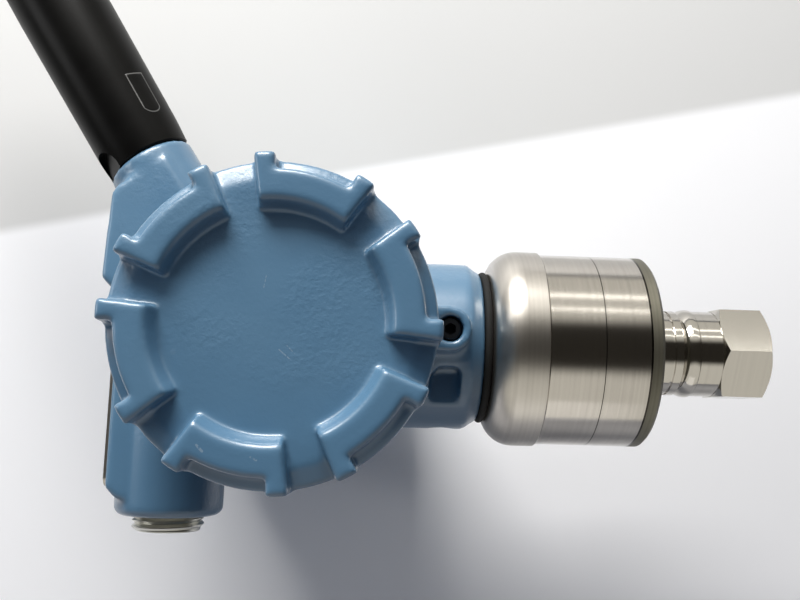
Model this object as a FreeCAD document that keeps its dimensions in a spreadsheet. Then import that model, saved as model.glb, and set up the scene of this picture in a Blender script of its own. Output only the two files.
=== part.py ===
import FreeCAD, Part
import math
import os

import Sketcher
from FreeCAD import Placement, Rotation, Vector

# Wireless in-line pressure transmitter, in millimetres.
# Origin: centre of the process connection's end face. Z runs up the sensor module's axis,
# the front cover faces -Y, the antenna leans to +X and the conduit entry opens to -X.

SIZES = {
    # process fitting
    "hex_flats": 27.0, "hex_height": 15.0,
    "shank_dia": 26.8, "bulge_height": 21.8, "bulge_top": 26.4, "valley_dia": 24.4,
    "collar_dia": 26.6, "collar_groove_height": 29.4, "collar_groove": 0.9,
    "pipe_bore": 18.6, "pipe_bore_depth": 17.0, "bore_chamfer": 1.4,
    "diaphragm_dia": 17.0, "diaphragm_gap": 1.2, "diaphragm_thick": 0.4,
    # sensor module can
    "module_base": 38.2, "rim_height": 3.6, "can_dia": 59.2, "can_wall": 1.5,
    "can_step": 70.9, "dome_dia": 60.6, "dome_radius": 9.0,
    "dome_top": 86.6, "header_dia": 37.0, "header_wall": 3.5, "header_reach": 12.0,
    "base_plate": 4.0, "cell_dia": 34.0, "cell_height": 16.0,
    "tube_dia": 2.4, "board_dia": 50.0, "board_thick": 1.6, "board_gap": 5.0,
    "seal_dia": 45.4, "seal_height": 2.2, "socket_dia": 16.0, "socket_height": 7.0,
    # housing casting
    "flange_dia": 46.4, "neck_dia": 51.4, "neck_round": 3.4, "axis_height": 147.0,
    "barrel_dia": 78.0, "mouth_dia": 83.0, "mouth_width": 8.0,
    "front_depth": 39.0, "rear_depth": 46.0, "divider_front": 8.5, "divider_thick": 4.5,
    "chamber_dia": 66.0, "cover_thread": 72.0, "thread_depth": 14.0,
    "conduit_rise": 34.4, "conduit_boss": 32.2, "conduit_end": 53.5, "conduit_round": 2.6,
    "plug_dia": 21.3, "plug_length": 19.0, "plug_proud": 4.6, "plug_key": 10.0,
    "hump_rise": 50.7, "hump_depth": 27.0, "hump_side": 48.3, "hump_corner": 3.2,
    "hump_edge": 1.2, "shoulder_rise": 5.5, "shoulder_start": 11.0,
    "antenna_lean": 33.2, "antenna_rise": 10.6, "antenna_seat": 66.5, "antenna_boss": 27.2,
    "pad_reach": 5.8, "pad_end_gap": 5.5, "antenna_thread": 18.0, "antenna_thread_reach": 10.0,
    "jam_height": 100.0, "jam_offset": 2.0, "jam_boss": 12.6, "jam_boss_face": 33.5,
    "jam_head": 7.4, "jam_head_depth": 5.0, "jam_thread": 4.0,
    "set_screw": 5.0, "set_screw_height": 99.4, "set_screw_length": 7.6,
    "ground_screw": 5.0, "ground_angle": 40.0, "ground_y": 24.0, "ground_pad": 2.2,
    # antenna
    "antenna_base_dia": 27.0, "antenna_tip_dia": 20.4, "antenna_length": 152.0,
    "antenna_wall": 2.6, "flat_width": 13.0, "flat_height": 14.0, "flat_depth": 1.5,
    "flat_start": 2.4, "antenna_ring": 1.8, "element_width": 9.0, "element_thick": 1.2,
    # covers
    "cover_rim_dia": 84.4, "cover_face": 60.2, "rear_cover_face": 71.0, "lug_rise": 5.4,
    "lug_dia": 86.0, "lug_inner_dia": 57.0, "lug_span": 44.0, "lug_slope": 22.0,
    "lug_count": 6, "horn_span": 7.5, "horn_step": 4.4, "horn_drop": 8.0, "lug_bevel": 0.9,
    "lug_phase": -13.5, "rear_phase": 16.5, "recess_dia": 48.6, "recess_depth": 0.6,
    "cover_floor": 4.0, "band_dia": 73.0, "band_fall": 1.8, "cover_foot": 0.7,
    "spigot_wall": 3.4, "spigot_length": 12.0, "cover_gap": 0.4, "cover_seal": 2.2,
    # inside
    "carrier_dia": 60.0, "carrier_wall": 2.2, "carrier_floor": 3.0,
    "main_board_dia": 55.0, "screw_head": 6.0, "screw_thread": 3.0,
    "carrier_screw_x": 20.0, "board_depth": 24.0, "plug_height": 6.0, "lead_dia": 4.0,
    "lead_short": 24.4, "lead_bend": 8.0,
    "terminal_dia": 62.0, "terminal_height": 6.0, "terminal_screw_x": 25.0,
    "terminal_screw_rise": 12.0, "comm_x": 9.0, "comm_rise": 23.0, "comm_dia": 7.0,
    "battery_gap": 28.0, "battery_length": 40.0, "battery_drop": 7.0, "battery_key": 14.0,
    # top plate
    "plate_length": 54.0, "plate_width": 23.0, "plate_thick": 0.9, "plate_centre": -18.0,
    "plate_corner": 3.0, "pin_dia": 4.2, "pin_head": 0.9,
    # fits
    "running_gap": 0.06, "seat_gap": 0.05, "slip": 0.3, "ring_clear": 0.03,
}


class Size:
    """A number together with the sheet expression that drives it."""

    def __init__(self, value, text):
        self.value = value
        self.text = text

    def _join(self, other, sign, result):
        return Size(result, "(%s %s %s)" % (self.text, sign, as_size(other).text))

    def __add__(self, other):
        return self._join(other, "+", self.value + as_size(other).value)

    def __sub__(self, other):
        return self._join(other, "-", self.value - as_size(other).value)

    def __mul__(self, other):
        return self._join(other, "*", self.value * as_size(other).value)

    def __truediv__(self, other):
        return self._join(other, "/", self.value / as_size(other).value)

    def __radd__(self, other):
        return as_size(other) + self

    def __rsub__(self, other):
        return as_size(other) - self

    def __rmul__(self, other):
        return as_size(other) * self

    def __neg__(self):
        return Size(-self.value, "(-1 * %s)" % self.text)

    def cos(self):
        return Size(math.cos(math.radians(self.value)), "cos(%s)" % self.text)

    def sin(self):
        return Size(math.sin(math.radians(self.value)), "sin(%s)" % self.text)

    def tan(self):
        return Size(math.tan(math.radians(self.value)), "tan(%s)" % self.text)


def as_size(number):
    return number if isinstance(number, Size) else Size(float(number), repr(float(number)))


def size(name):
    return Size(float(SIZES[name]), "Sizes." + name)


def above_axis(name):
    """Height of a feature that is placed from the barrel's axis."""
    return size("axis_height") + size(name)


def bind(thing, field, value):
    """Set a property now and tie it to the sheet."""
    value = as_size(value)
    thing.setExpression(field, value.text)


doc = FreeCAD.newDocument("pressure_transmitter")
sheet = doc.addObject("Spreadsheet::Sheet", "Sizes")
for row, (name, number) in enumerate(SIZES.items(), start=1):
    sheet.set("A%d" % row, name)
    sheet.set("B%d" % row, str(number))
    sheet.setAlias("B%d" % row, name)
doc.recompute()

FINISHED = []


def keep(thing, label):
    """Name a finished sub-part; its label names its file."""
    thing.Label = label
    FINISHED.append(thing)
    return thing


# ---------------------------------------------------------------- sketch and feature helpers

def new_body(label):
    body = doc.addObject("PartDesign::Body", label)
    return keep(body, label)


def new_sketch(body, plane, shift=(0, 0, 0), turn=None, turn_across=None):
    """A sketch on one of the body's own origin planes, moved in the plane's own axes.

    turn swings it within the plane; turn_across swings the plane about its second axis.
    """
    sketch = body.newObject("Sketcher::SketchObject", body.Label + "_sketch")
    base = [feature for feature in body.Origin.OriginFeatures if feature.Role == plane][0]
    sketch.AttachmentSupport = [(base, "")]
    sketch.MapMode = "FlatFace"
    for axis, value in zip("xyz", shift):
        if not (isinstance(value, (int, float)) and value == 0):
            bind(sketch, "AttachmentOffset.Base." + axis, value)
    if turn is not None:
        bind_turn(sketch, "AttachmentOffset", (0, 0, 1), turn)
    if turn_across is not None:
        bind_turn(sketch, "AttachmentOffset", (0, 1, 0), turn_across)
    return sketch


def bind_turn(thing, field, axis, angle):
    """Tie a rotation to an angle; the angle is kept between 0 and 180, where its axis is stable."""
    angle = as_size(angle)
    if angle.value > 180:
        angle = angle - 360
    if angle.value < 0:
        axis, angle = [-value for value in axis], -angle
    setattr(thing, field, Placement(getattr(thing, field).Base, Rotation(Vector(*axis), angle.value)))
    bind(thing, field + ".Rotation.Angle", angle)


def pin(sketch, geometry, end, across, up):
    """Dimension a point from the sketch origin, or put it on the axis when it has no distance."""
    for kind, axis, value in (("DistanceX", -2, across), ("DistanceY", -1, up)):
        value = as_size(value)
        if value.value == 0:
            sketch.addConstraint(Sketcher.Constraint("PointOnObject", geometry, end, axis))
        else:
            index = sketch.addConstraint(
                Sketcher.Constraint(kind, -1, 1, geometry, end, value.value))
            sketch.setExpression("Constraints[%d]" % index, value.text)


def arc_between(start, end, radius):
    """The short arc from start to end; a negative radius turns clockwise."""
    chord = end - start
    middle = (start + end) * 0.5
    rise = math.sqrt(max(radius ** 2 - chord.Length ** 2 / 4, 0))
    side = Vector(-chord.y, chord.x, 0).normalize() * math.copysign(rise, radius)
    centre = middle + side
    circle = Part.Circle(centre, Vector(0, 0, 1), abs(radius))
    first, last = (start, end) if radius > 0 else (end, start)
    angles = [math.atan2(point.y - centre.y, point.x - centre.x) for point in (first, last)]
    if angles[1] < angles[0]:
        angles[1] += 2 * math.pi
    return Part.ArcOfCircle(circle, angles[0], angles[1])


def outline(sketch, corners):
    """A closed line of corners (across, up) or (across, up, radius of the arc that leaves it)."""
    corners = [[as_size(value) for value in corner] for corner in corners]
    points = [Vector(corner[0].value, corner[1].value, 0) for corner in corners]
    first = len(sketch.Geometry)
    ends = []
    for index, corner in enumerate(corners):
        start, end = points[index], points[(index + 1) % len(points)]
        if len(corner) == 3:
            geometry = sketch.addGeometry(arc_between(start, end, corner[2].value))
            radius = corner[2] if corner[2].value > 0 else -corner[2]
            limit = sketch.addConstraint(Sketcher.Constraint("Radius", geometry, radius.value))
            sketch.setExpression("Constraints[%d]" % limit, radius.text)
            ends.append((1, 2) if corner[2].value > 0 else (2, 1))
        else:
            geometry = sketch.addGeometry(Part.LineSegment(start, end))
            ends.append((1, 2))
    for index, corner in enumerate(corners):
        here = first + index
        after = first + (index + 1) % len(corners)
        sketch.addConstraint(Sketcher.Constraint(
            "Coincident", here, ends[index][1], after, ends[(index + 1) % len(corners)][0]))
        pin(sketch, here, ends[index][0], corner[0], corner[1])


def ring(sketch, across, up, diameter):
    across, up, diameter = as_size(across), as_size(up), as_size(diameter)
    centre = Vector(across.value, up.value, 0)
    geometry = sketch.addGeometry(Part.Circle(centre, Vector(0, 0, 1), diameter.value / 2))
    index = sketch.addConstraint(Sketcher.Constraint("Diameter", geometry, diameter.value))
    sketch.setExpression("Constraints[%d]" % index, diameter.text)
    pin(sketch, geometry, 3, across, up)


def grow(body, kind, sketch, **fields):
    """Add a PartDesign feature that uses a sketch."""
    feature = body.newObject("PartDesign::" + kind, "%s_%s" % (body.Label, kind.lower()))
    feature.Profile = sketch
    for field, value in fields.items():
        if isinstance(value, Size):
            bind(feature, field, value)
        else:
            setattr(feature, field, value)
    sketch.Visibility = False
    return feature


def revolve(body, sketch, axis="V_Axis", kind="Revolution"):
    return grow(body, kind, sketch, ReferenceAxis=(sketch, [axis]), Angle=360.0)


def pad(body, sketch, length, back=None, reverse=False, taper=None):
    """Pad to one side, or to both when a length for the back is given."""
    fields = {"Length": length, "Reversed": reverse}
    if back is not None:
        fields.update(SideType="Two sides", Length2=back)
    if taper is not None:
        fields["TaperAngle"] = taper
    return grow(body, "Pad", sketch, **fields)


def pocket(body, sketch, depth, back=None, reverse=False):
    fields = {"Length": depth, "Reversed": reverse}
    if back is not None:
        fields.update(SideType="Two sides", Length2=back)
    return grow(body, "Pocket", sketch, **fields)


def round_off(body, radius, wanted, kind="Fillet"):
    """Round (or chamfer) those edges of the body so far for which wanted(edge) holds."""
    doc.recompute()
    base = body.Tip
    names = ["Edge%d" % number for number, edge in enumerate(base.Shape.Edges, start=1)
             if wanted(edge)]
    if not names:
        raise RuntimeError("no edge to round on " + body.Label)
    feature = body.newObject("PartDesign::" + kind, "%s_%s" % (body.Label, kind.lower()))
    feature.Base = (base, names)
    bind(feature, "Radius" if kind == "Fillet" else "Size", radius)
    return feature


def turned(label, corners, plane="XZ_Plane", shift=(0, 0, 0)):
    """A body turned about its own Z axis from an outline of (radius, height) corners."""
    body = new_body(label)
    sketch = new_sketch(body, plane, shift)
    outline(sketch, corners)
    revolve(body, sketch)
    return body


def place(thing, x=0, y=0, z=0, axis=None, angle=0):
    """Place a sub-part: a turn about an axis, then a move."""
    if axis is not None:
        bind_turn(thing, "Placement", axis, angle)
    for name, value in zip("xyz", (x, y, z)):
        if isinstance(value, Size):
            bind(thing, "Placement.Base." + name, value)


def level(edge, height, tolerance=0.01):
    """True for an edge that lies wholly at one height of its own frame."""
    box = edge.BoundBox
    return abs(box.ZMin - height) < tolerance and abs(box.ZMax - height) < tolerance


# ---------------------------------------------------------------- sizes worked out once

HALF = 0.5
plate_top = size("module_base") + size("base_plate")
fitting_top = plate_top + 3
can_bottom = size("module_base") + size("rim_height")
web_bottom = size("dome_top") - size("can_wall") - 2
web_top = web_bottom + 3
flange_bottom = size("dome_top") + size("seal_height") + size("seat_gap")
divider_rear = size("divider_front") + size("divider_thick")
spigot_dia = size("cover_thread") - size("running_gap") * 2
spigot_bore = spigot_dia - size("spigot_wall") * 2
lean = size("antenna_lean")
plug_bore = size("plug_dia") + size("seat_gap") * 2


# ---------------------------------------------------------------- sensor module

def process_fitting():
    """Hex and turned neck with the pipe bore at its thread's inner size, one turned piece."""
    body = new_body("process_fitting")
    flats, height = size("hex_flats"), size("hex_height")
    corner = flats * (1 / math.sqrt(3))
    hexagon = new_sketch(body, "XY_Plane")
    angles = [as_size(30 + 60 * step) for step in range(6)]
    outline(hexagon, [(corner * angle.cos(), corner * angle.sin()) for angle in angles])
    pad(body, hexagon, height)
    reach = corner + 1
    fall = (reach - flats * HALF) * math.tan(math.radians(30))
    for level_z, drop in ((height, -fall), (as_size(0), fall)):
        chamfer = new_sketch(body, "XZ_Plane")
        outline(chamfer, [(flats * HALF, level_z), (reach, level_z), (reach, level_z + drop)])
        revolve(body, chamfer, kind="Groove")
    neck = new_sketch(body, "XZ_Plane")
    shank, valley = size("shank_dia") * HALF, size("valley_dia") * HALF
    collar = size("collar_dia") * HALF
    groove_low = size("collar_groove_height")
    groove_high = groove_low + size("collar_groove")
    outline(neck, [
        (0, height - 2), (shank, height - 2), (shank, size("bulge_height")),
        (shank + 0.35, size("bulge_height") + 0.35, size("bulge_top") - size("bulge_height")),
        (valley, size("bulge_top")), (collar, size("bulge_top") + 0.7),
        (collar, groove_low), (collar - 0.5, groove_low), (collar - 0.5, groove_high),
        (collar, groove_high), (collar, fitting_top), (0, fitting_top)])
    revolve(body, neck)
    bore = new_sketch(body, "XZ_Plane")
    mouth, depth = size("pipe_bore") * HALF, size("pipe_bore_depth")
    disc = size("diaphragm_dia") * HALF
    seat = depth + size("diaphragm_thick") + size("diaphragm_gap")
    tube = size("tube_dia") * HALF + size("seat_gap")
    outline(bore, [
        (0, 0), (mouth + size("bore_chamfer"), 0), (mouth, size("bore_chamfer")),
        (mouth, depth), (disc, depth), (disc, seat), (tube, seat),
        (tube, fitting_top), (0, fitting_top)])
    revolve(body, bore, kind="Groove")
    return body


def isolating_diaphragm():
    """Thin corrugated disc that closes the oil behind the pipe bore."""
    disc = size("diaphragm_dia") * HALF
    low = size("pipe_bore_depth")
    high = low + size("diaphragm_thick")
    wave = disc / 5
    lift = size("diaphragm_gap") * 0.4
    return turned("isolating_diaphragm", [
        (0, low), (wave, low), (wave * 2, low + lift), (wave * 3, low), (wave * 4, low + lift),
        (disc, low), (disc, high), (wave * 4, high + lift), (wave * 3, high),
        (wave * 2, high + lift), (wave, high), (0, high)])


def base_plate():
    outer, inner = size("can_dia") * HALF, size("collar_dia") * HALF
    low, high = size("module_base"), can_bottom
    return turned("module_base_plate", [
        (inner, low), (outer - 0.9, low), (outer, low + 0.9), (outer, high),
        (outer - size("can_wall"), high), (outer - size("can_wall"), plate_top), (inner, plate_top)])


def module_can():
    """Spun can: straight band, a small step and the domed shoulder."""
    band, dome, wall = size("can_dia") * HALF, size("dome_dia") * HALF, size("can_wall")
    top, bend, hole = size("dome_top"), size("dome_radius"), size("header_dia") * HALF
    step = size("can_step")
    return turned("module_can", [
        (band, can_bottom), (band, step), (dome, step + 0.5), (dome, top - bend, bend),
        (dome - bend, top), (hole, top), (hole, top - wall), (dome - bend, top - wall, -(bend - wall)),
        (dome - wall, top - bend), (dome - wall, step + 0.5), (band - wall, step - 0.5),
        (band - wall, can_bottom)])


def module_header():
    """Threaded nipple with the closed web that carries the connector."""
    outer = size("header_dia") * HALF
    inner = outer - size("header_wall")
    foot = outer + 3
    top = size("dome_top") + size("header_reach")
    under = size("dome_top") - size("can_wall")
    return turned("module_header", [
        (0, web_bottom), (foot, web_bottom), (foot, under), (outer, under), (outer, top - 0.8),
        (outer - 0.8, top), (inner, top), (inner, web_top), (0, web_top)])


def neck_seal():
    inner, outer = size("header_dia") * HALF + size("slip"), size("seal_dia") * HALF
    low = size("dome_top")
    high = low + size("seal_height")
    bulge = size("seal_height") * 0.52
    return turned("neck_seal", [(inner, low), (outer, low, bulge), (outer, high), (inner, high)])


def sensor_cell():
    """Welded pressure cell on top of the fitting."""
    outer, low = size("cell_dia") * HALF, fitting_top
    high = low + size("cell_height")
    foot = size("collar_dia") * HALF - 2
    tube = size("tube_dia") * HALF + size("seat_gap")
    return turned("sensor_cell", [
        (tube, low), (foot, low), (foot, low + 3), (outer, low + 3), (outer, high - 1.5),
        (outer - 1.5, high), (0, high), (0, high - 6), (tube, high - 6)])


def capillary_tube():
    outer = size("tube_dia") * HALF
    low = size("pipe_bore_depth") + size("diaphragm_thick") + size("diaphragm_gap")
    high = fitting_top + size("cell_height") - 6
    return turned("capillary_tube", [(0.4, low), (outer, low), (outer, high), (0.4, high)])


def board_spacers():
    """Three posts between the cell and its board."""
    body = new_body("board_spacers")
    posts = new_sketch(body, "XY_Plane", (0, 0, fitting_top + size("cell_height")))
    reach = size("cell_dia") * HALF - 4
    for step in range(3):
        angle = as_size(90 + 120 * step)
        ring(posts, reach * angle.cos(), reach * angle.sin(), 4)
    pad(body, posts, size("board_gap"))
    return body


def module_board():
    low = fitting_top + size("cell_height") + size("board_gap")
    high = low + size("board_thick")
    outer = size("board_dia") * HALF
    return turned("module_board", [(0, low), (outer, low), (outer, high), (0, high)])


def module_ribbon():
    low = fitting_top + size("cell_height") + size("board_gap") + size("board_thick")
    ribbon = doc.addObject("Part::Box", "module_ribbon")
    bind(ribbon, "Length", 10)
    bind(ribbon, "Width", 0.6)
    bind(ribbon, "Height", web_bottom - low)
    place(ribbon, x=as_size(-5), y=as_size(-0.3), z=low)
    return keep(ribbon, "module_ribbon")


def header_connector():
    """Round socket on the header's web."""
    outer, low = size("socket_dia") * HALF, web_top
    high = low + size("socket_height")
    return turned("header_connector", [
        (0, low), (outer, low), (outer, high), (outer - 1.5, high), (outer - 1.5, low + 2),
        (0, low + 2)])


# ---------------------------------------------------------------- housing casting

def across_barrel(body):
    """A sketch whose first axis runs along the barrel (Y) and second away from its axis (Z)."""
    return new_sketch(body, "YZ_Plane", (0, size("axis_height"), 0))


def along_antenna(body):
    """A sketch in the XZ plane whose second axis is the antenna's own axis."""
    return new_sketch(body, "XZ_Plane", (0, above_axis("antenna_rise"), 0), turn=lean - 90)


def hump_block(body):
    """Flat-sided block that joins the two bosses; the plate lies on its lower, level part."""
    top, side, corner = above_axis("hump_rise"), size("hump_side"), size("hump_corner")
    shoulder, step = top + size("shoulder_rise"), size("shoulder_start")
    reach = size("antenna_seat") - size("pad_end_gap")
    pad_edge, cosine, sine = size("pad_reach"), lean.cos(), lean.sin()
    end_x = reach * cosine + pad_edge * sine
    end_z = above_axis("antenna_rise") + reach * sine - pad_edge * cosine
    rim_z = shoulder - corner * 0.85
    rim_x = end_x - (rim_z - end_z) / cosine * sine
    block = new_sketch(body, "XZ_Plane")
    outline(block, [
        (-side, above_axis("conduit_rise")), (corner * 6 - side, size("axis_height") + 12),
        (end_x - reach * cosine * HALF, end_z - reach * sine * HALF), (end_x, end_z),
        (rim_x, rim_z), (rim_x - corner * 0.8, shoulder - corner * 0.4),
        (step + size("shoulder_rise"), shoulder), (step, top), (corner - side, top),
        (-side, top - corner)])
    depth = size("hump_depth") * HALF
    pad(body, block, depth, back=depth)
    face, low = depth.value, (top - corner).value - 0.01
    round_off(body, size("hump_edge"), lambda edge: edge.BoundBox.YLength < 0.01
              and abs(abs(edge.BoundBox.YMin) - face) < 0.01 and edge.BoundBox.ZMin > low)


def barrel(body):
    front, rear = size("front_depth"), size("rear_depth")
    wall, mouth, width = size("barrel_dia") * HALF, size("mouth_dia") * HALF, size("mouth_width")
    slope = mouth - wall
    shell = across_barrel(body)
    outline(shell, [
        (-front, 0), (-front, mouth - 0.8), (-front + 0.8, mouth), (-front + width, mouth),
        (-front + width + slope, wall), (rear - width - slope, wall), (rear - width, mouth),
        (rear - 0.8, mouth), (rear, mouth - 0.8), (rear, 0)])
    revolve(body, shell, "H_Axis")


def neck(body):
    """Round neck over the sensor module, with its rounded lower shoulder."""
    flange, outer, curve = size("flange_dia") * HALF, size("neck_dia") * HALF, size("neck_round")
    low = flange_bottom
    shell = new_sketch(body, "XZ_Plane")
    outline(shell, [
        (0, low), (flange, low), (flange, low + 0.8), (outer, low + 0.8 + curve),
        (outer, size("axis_height") - outer), (0, size("axis_height") - outer)])
    revolve(body, shell)


def conduit_boss(body):
    outer, end, curve = size("conduit_boss") * HALF, size("conduit_end"), size("conduit_round")
    shell = new_sketch(body, "XZ_Plane", (0, above_axis("conduit_rise"), 0))
    outline(shell, [(-12, 0), (-end, 0), (-end, outer - curve, -curve),
                    (curve - end, outer), (-12, outer)])
    revolve(body, shell, "H_Axis")


def antenna_boss(body):
    outer, seat = size("antenna_boss") * HALF, size("antenna_seat")
    shell = along_antenna(body)
    outline(shell, [(0, 20), (outer, 20), (outer, seat - 0.8), (outer - 0.8, seat), (0, seat)])
    revolve(body, shell)


def jam_boss_outline(body):
    """U-shaped boss for a cover jam screw, open toward the barrel."""
    half, middle, offset = size("jam_boss") * HALF, size("jam_height"), size("jam_offset")
    high = size("axis_height") - size("barrel_dia") * HALF + 6
    shape = new_sketch(body, "XZ_Plane")
    outline(shape, [(offset - half, high), (offset - half, middle, half + 0.001),
                    (offset + half, middle), (offset + half, high)])
    return shape


def hole(body, plane, shift, across, up, diameter, depth, back=None, reverse=False):
    drilled = new_sketch(body, plane, shift)
    ring(drilled, across, up, diameter)
    return pocket(body, drilled, depth, back, reverse)


def chambers(body):
    """Front and rear bores with the larger thread bores at their mouths."""
    front, rear = size("front_depth"), size("rear_depth")
    thread, bore, reach = size("cover_thread") * HALF, size("chamber_dia") * HALF, size("thread_depth")
    for mouth, inward, floor in ((-front, 1, size("divider_front")), (rear, -1, divider_rear)):
        cut = across_barrel(body)
        outline(cut, [
            (mouth, 0), (mouth, thread), (mouth + reach * inward, thread),
            (mouth + (reach + 3) * inward, bore), (floor, bore), (floor, 0)])
        revolve(body, cut, "H_Axis", "Groove")


def housing():
    """Cast two-chamber housing."""
    body = new_body("housing")
    hump_block(body)
    barrel(body)
    neck(body)
    conduit_boss(body)
    antenna_boss(body)
    face = size("jam_boss_face")
    pad(body, jam_boss_outline(body), face, back=size("rear_depth") - size("front_depth") + face)
    ground_boss(body)
    chambers(body)
    drill_housing(body)
    return body


def toward_ground(body):
    """A sketch plane square to the ground screw, at the barrel's surface."""
    angle, reach = size("ground_angle"), size("barrel_dia") * HALF
    plane = new_sketch(body, "YZ_Plane")
    x, z = -(reach * angle.cos()), size("axis_height") - reach * angle.sin()
    for axis, value in zip("xyz", (size("ground_y"), z, x)):
        bind(plane, "AttachmentOffset.Base." + axis, value)
    bind_turn(plane, "AttachmentOffset", (1, 0, 0), -angle)
    return plane


def ground_boss(body):
    """Flat round pad that the ground washer sits on."""
    face = toward_ground(body)
    ring(face, 0, 0, 13)
    pad(body, face, size("ground_pad"), back=as_size(5), reverse=True)


def terminal_screw_places():
    return ((size("terminal_screw_x"), above_axis("terminal_screw_rise")),
            (-size("terminal_screw_x"), above_axis("terminal_screw_rise")))


def carrier_screw_places():
    across, up = size("carrier_screw_x"), size("axis_height")
    return ((across, up), (-across, up))


def drill_housing(body):
    """Every bore, hole and pocket of the casting, each sized from what goes in it."""
    gap, height = size("seat_gap") * 2, size("axis_height")
    header = size("header_dia") + size("running_gap") * 2
    header_floor = size("dome_top") + size("header_reach") + 1
    hole(body, "XY_Plane", (0, 0, flange_bottom), 0, 0, header, header_floor - flange_bottom,
         reverse=True)
    hole(body, "XY_Plane", (0, 0, header_floor), 0, 0, size("socket_dia"), height - header_floor - 10,
         reverse=True)
    hole(body, "YZ_Plane", (0, 0, -size("conduit_end")), 0, above_axis("conduit_rise"), plug_bore,
         size("plug_length"), reverse=True)
    hole(body, "YZ_Plane", (0, 0, -size("conduit_end")), 0, above_axis("conduit_rise"),
         size("plug_dia") * 0.6, size("conduit_end") - 8, reverse=True)
    bore = along_antenna(body)
    seat, thread = size("antenna_seat"), (size("antenna_thread") + gap) * HALF
    groove = thread + size("antenna_ring") + 0.1
    outline(bore, [
        (0, seat), (groove, seat), (groove, seat - size("antenna_ring")),
        (thread, seat - size("antenna_ring")), (thread, seat - size("antenna_thread_reach") - 0.5),
        (4, seat - size("antenna_thread_reach") - 4), (4, 26), (0, 26)])
    revolve(body, bore, kind="Groove")
    for side, shift in ((1, size("jam_boss_face")),
                        (-1, -(size("rear_depth") - size("front_depth") + size("jam_boss_face")))):
        for diameter, depth in ((size("jam_head"), size("jam_head_depth")),
                                (size("jam_thread") + gap, size("jam_head_depth") + 9)):
            hole(body, "XZ_Plane", (0, 0, shift), size("jam_offset"), size("jam_height"), diameter,
                 depth, reverse=side < 0)
    hole(body, "YZ_Plane", (0, 0, -size("neck_dia") * HALF), 0, size("set_screw_height"),
         size("set_screw") + gap, size("set_screw_length"), reverse=True)
    drilled = toward_ground(body)
    ring(drilled, 0, 0, size("ground_screw") + gap)
    pocket(body, drilled, as_size(5.4), back=as_size(5.2))
    for across in plate_pin_places():
        hole(body, "XY_Plane", (0, 0, above_axis("hump_rise")), across, 0,
             size("pin_dia") * HALF + gap, 4.2)
    thread = size("screw_thread") + gap
    for across, up in carrier_screw_places():
        hole(body, "XZ_Plane", (0, 0, -size("divider_front")), across, up, thread,
             size("divider_thick") - 0.8)
    for across, up in terminal_screw_places():
        hole(body, "XZ_Plane", (0, 0, -divider_rear), across, up, thread,
             size("divider_thick") - 0.8, reverse=True)
    relief = new_sketch(body, "XZ_Plane", (0, 0, size("neck_dia") * HALF - 8))
    outline(relief, [(-18, flange_bottom + 7), (-8, flange_bottom + 7), (-8, flange_bottom + 13.5),
                     (-11, flange_bottom + 16), (-18, flange_bottom + 16)])
    pocket(body, relief, 12, reverse=True)


# ---------------------------------------------------------------- covers

def cover(label, face_height, phase):
    """Screw cover with six grip lugs. Local Z points out of the housing, zero at the seat."""
    body = new_body(label)
    rim, spigot, inside = size("cover_rim_dia") * HALF, spigot_dia * HALF, spigot_bore * HALF
    top = face_height - size("lug_rise")
    roof = top - size("recess_depth") - size("cover_floor")
    recess, band, foot = size("recess_dia") * HALF, size("band_dia") * HALF, size("cover_foot")
    groove = spigot - size("cover_seal")
    shell = new_sketch(body, "XZ_Plane")
    outline(shell, [
        (0, top - size("recess_depth")), (recess - 0.6, top - size("recess_depth")), (recess, top),
        (band, top), (rim, top - size("band_fall")), (rim, foot), (rim - foot, 0), (groove, 0),
        (groove, -size("cover_seal") - 0.4), (spigot, -size("cover_seal") - 0.4),
        (spigot, 0.8 - size("spigot_length")), (spigot - 0.8, -size("spigot_length")),
        (inside, -size("spigot_length")), (inside, roof - 3), (inside - 3, roof), (0, roof)])
    revolve(body, shell)
    lug = [cover_lug(body, top, face_height, phase), lug_recess(body, top, face_height, phase)]
    pattern = body.newObject("PartDesign::PolarPattern", label + "_lugs")
    pattern.Originals = lug
    pattern.Axis = (shell, ["V_Axis"])
    pattern.Angle = 360.0
    bind(pattern, "Occurrences", size("lug_count"))
    body.Tip = pattern
    high = face_height.value
    round_off(body, size("lug_bevel"), lambda edge: level(edge, high), kind="Chamfer")
    return body


def cover_lug(body, top, face_height, phase):
    """A ring sector with a sloped inner wall that also runs down the cover's side."""
    inner, outer = size("lug_inner_dia") * HALF, size("lug_dia") * HALF
    rim, rise, band = size("cover_rim_dia") * HALF, size("lug_rise"), size("band_dia") * HALF
    low, root = top - size("horn_drop"), top - 0.3
    section = new_sketch(body, "XZ_Plane", turn_across=phase)
    outline(section, [
        (inner, root), (inner + rise * size("lug_slope").tan(), face_height), (outer, face_height),
        (outer, low), (rim - 1, low), (rim - 1, root - size("band_fall")), (band, root)])
    return grow(body, "Revolution", section, ReferenceAxis=(section, ["V_Axis"]),
                Midplane=True, Angle=size("lug_span"))


def lug_recess(body, top, face_height, phase):
    """The step between a lug's two horns, down to the face's sloped band."""
    outer, rim, band = size("lug_dia") * HALF, size("cover_rim_dia") * HALF, size("band_dia") * HALF
    dip, low, fall = outer - size("horn_step"), top - size("horn_drop"), size("band_fall")
    floor = top - fall * ((dip - band) / (rim - band))
    section = new_sketch(body, "XZ_Plane", turn_across=phase)
    outline(section, [
        (dip, face_height + 1), (dip, floor + 0.6), (dip + 0.8, floor), (rim, top - fall),
        (rim, low - 0.5), (outer + 1, low - 0.5), (outer + 1, face_height + 1)])
    return grow(body, "Groove", section, ReferenceAxis=(section, ["V_Axis"]),
                Midplane=True, Angle=size("lug_span") - size("horn_span") * 2)


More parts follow.
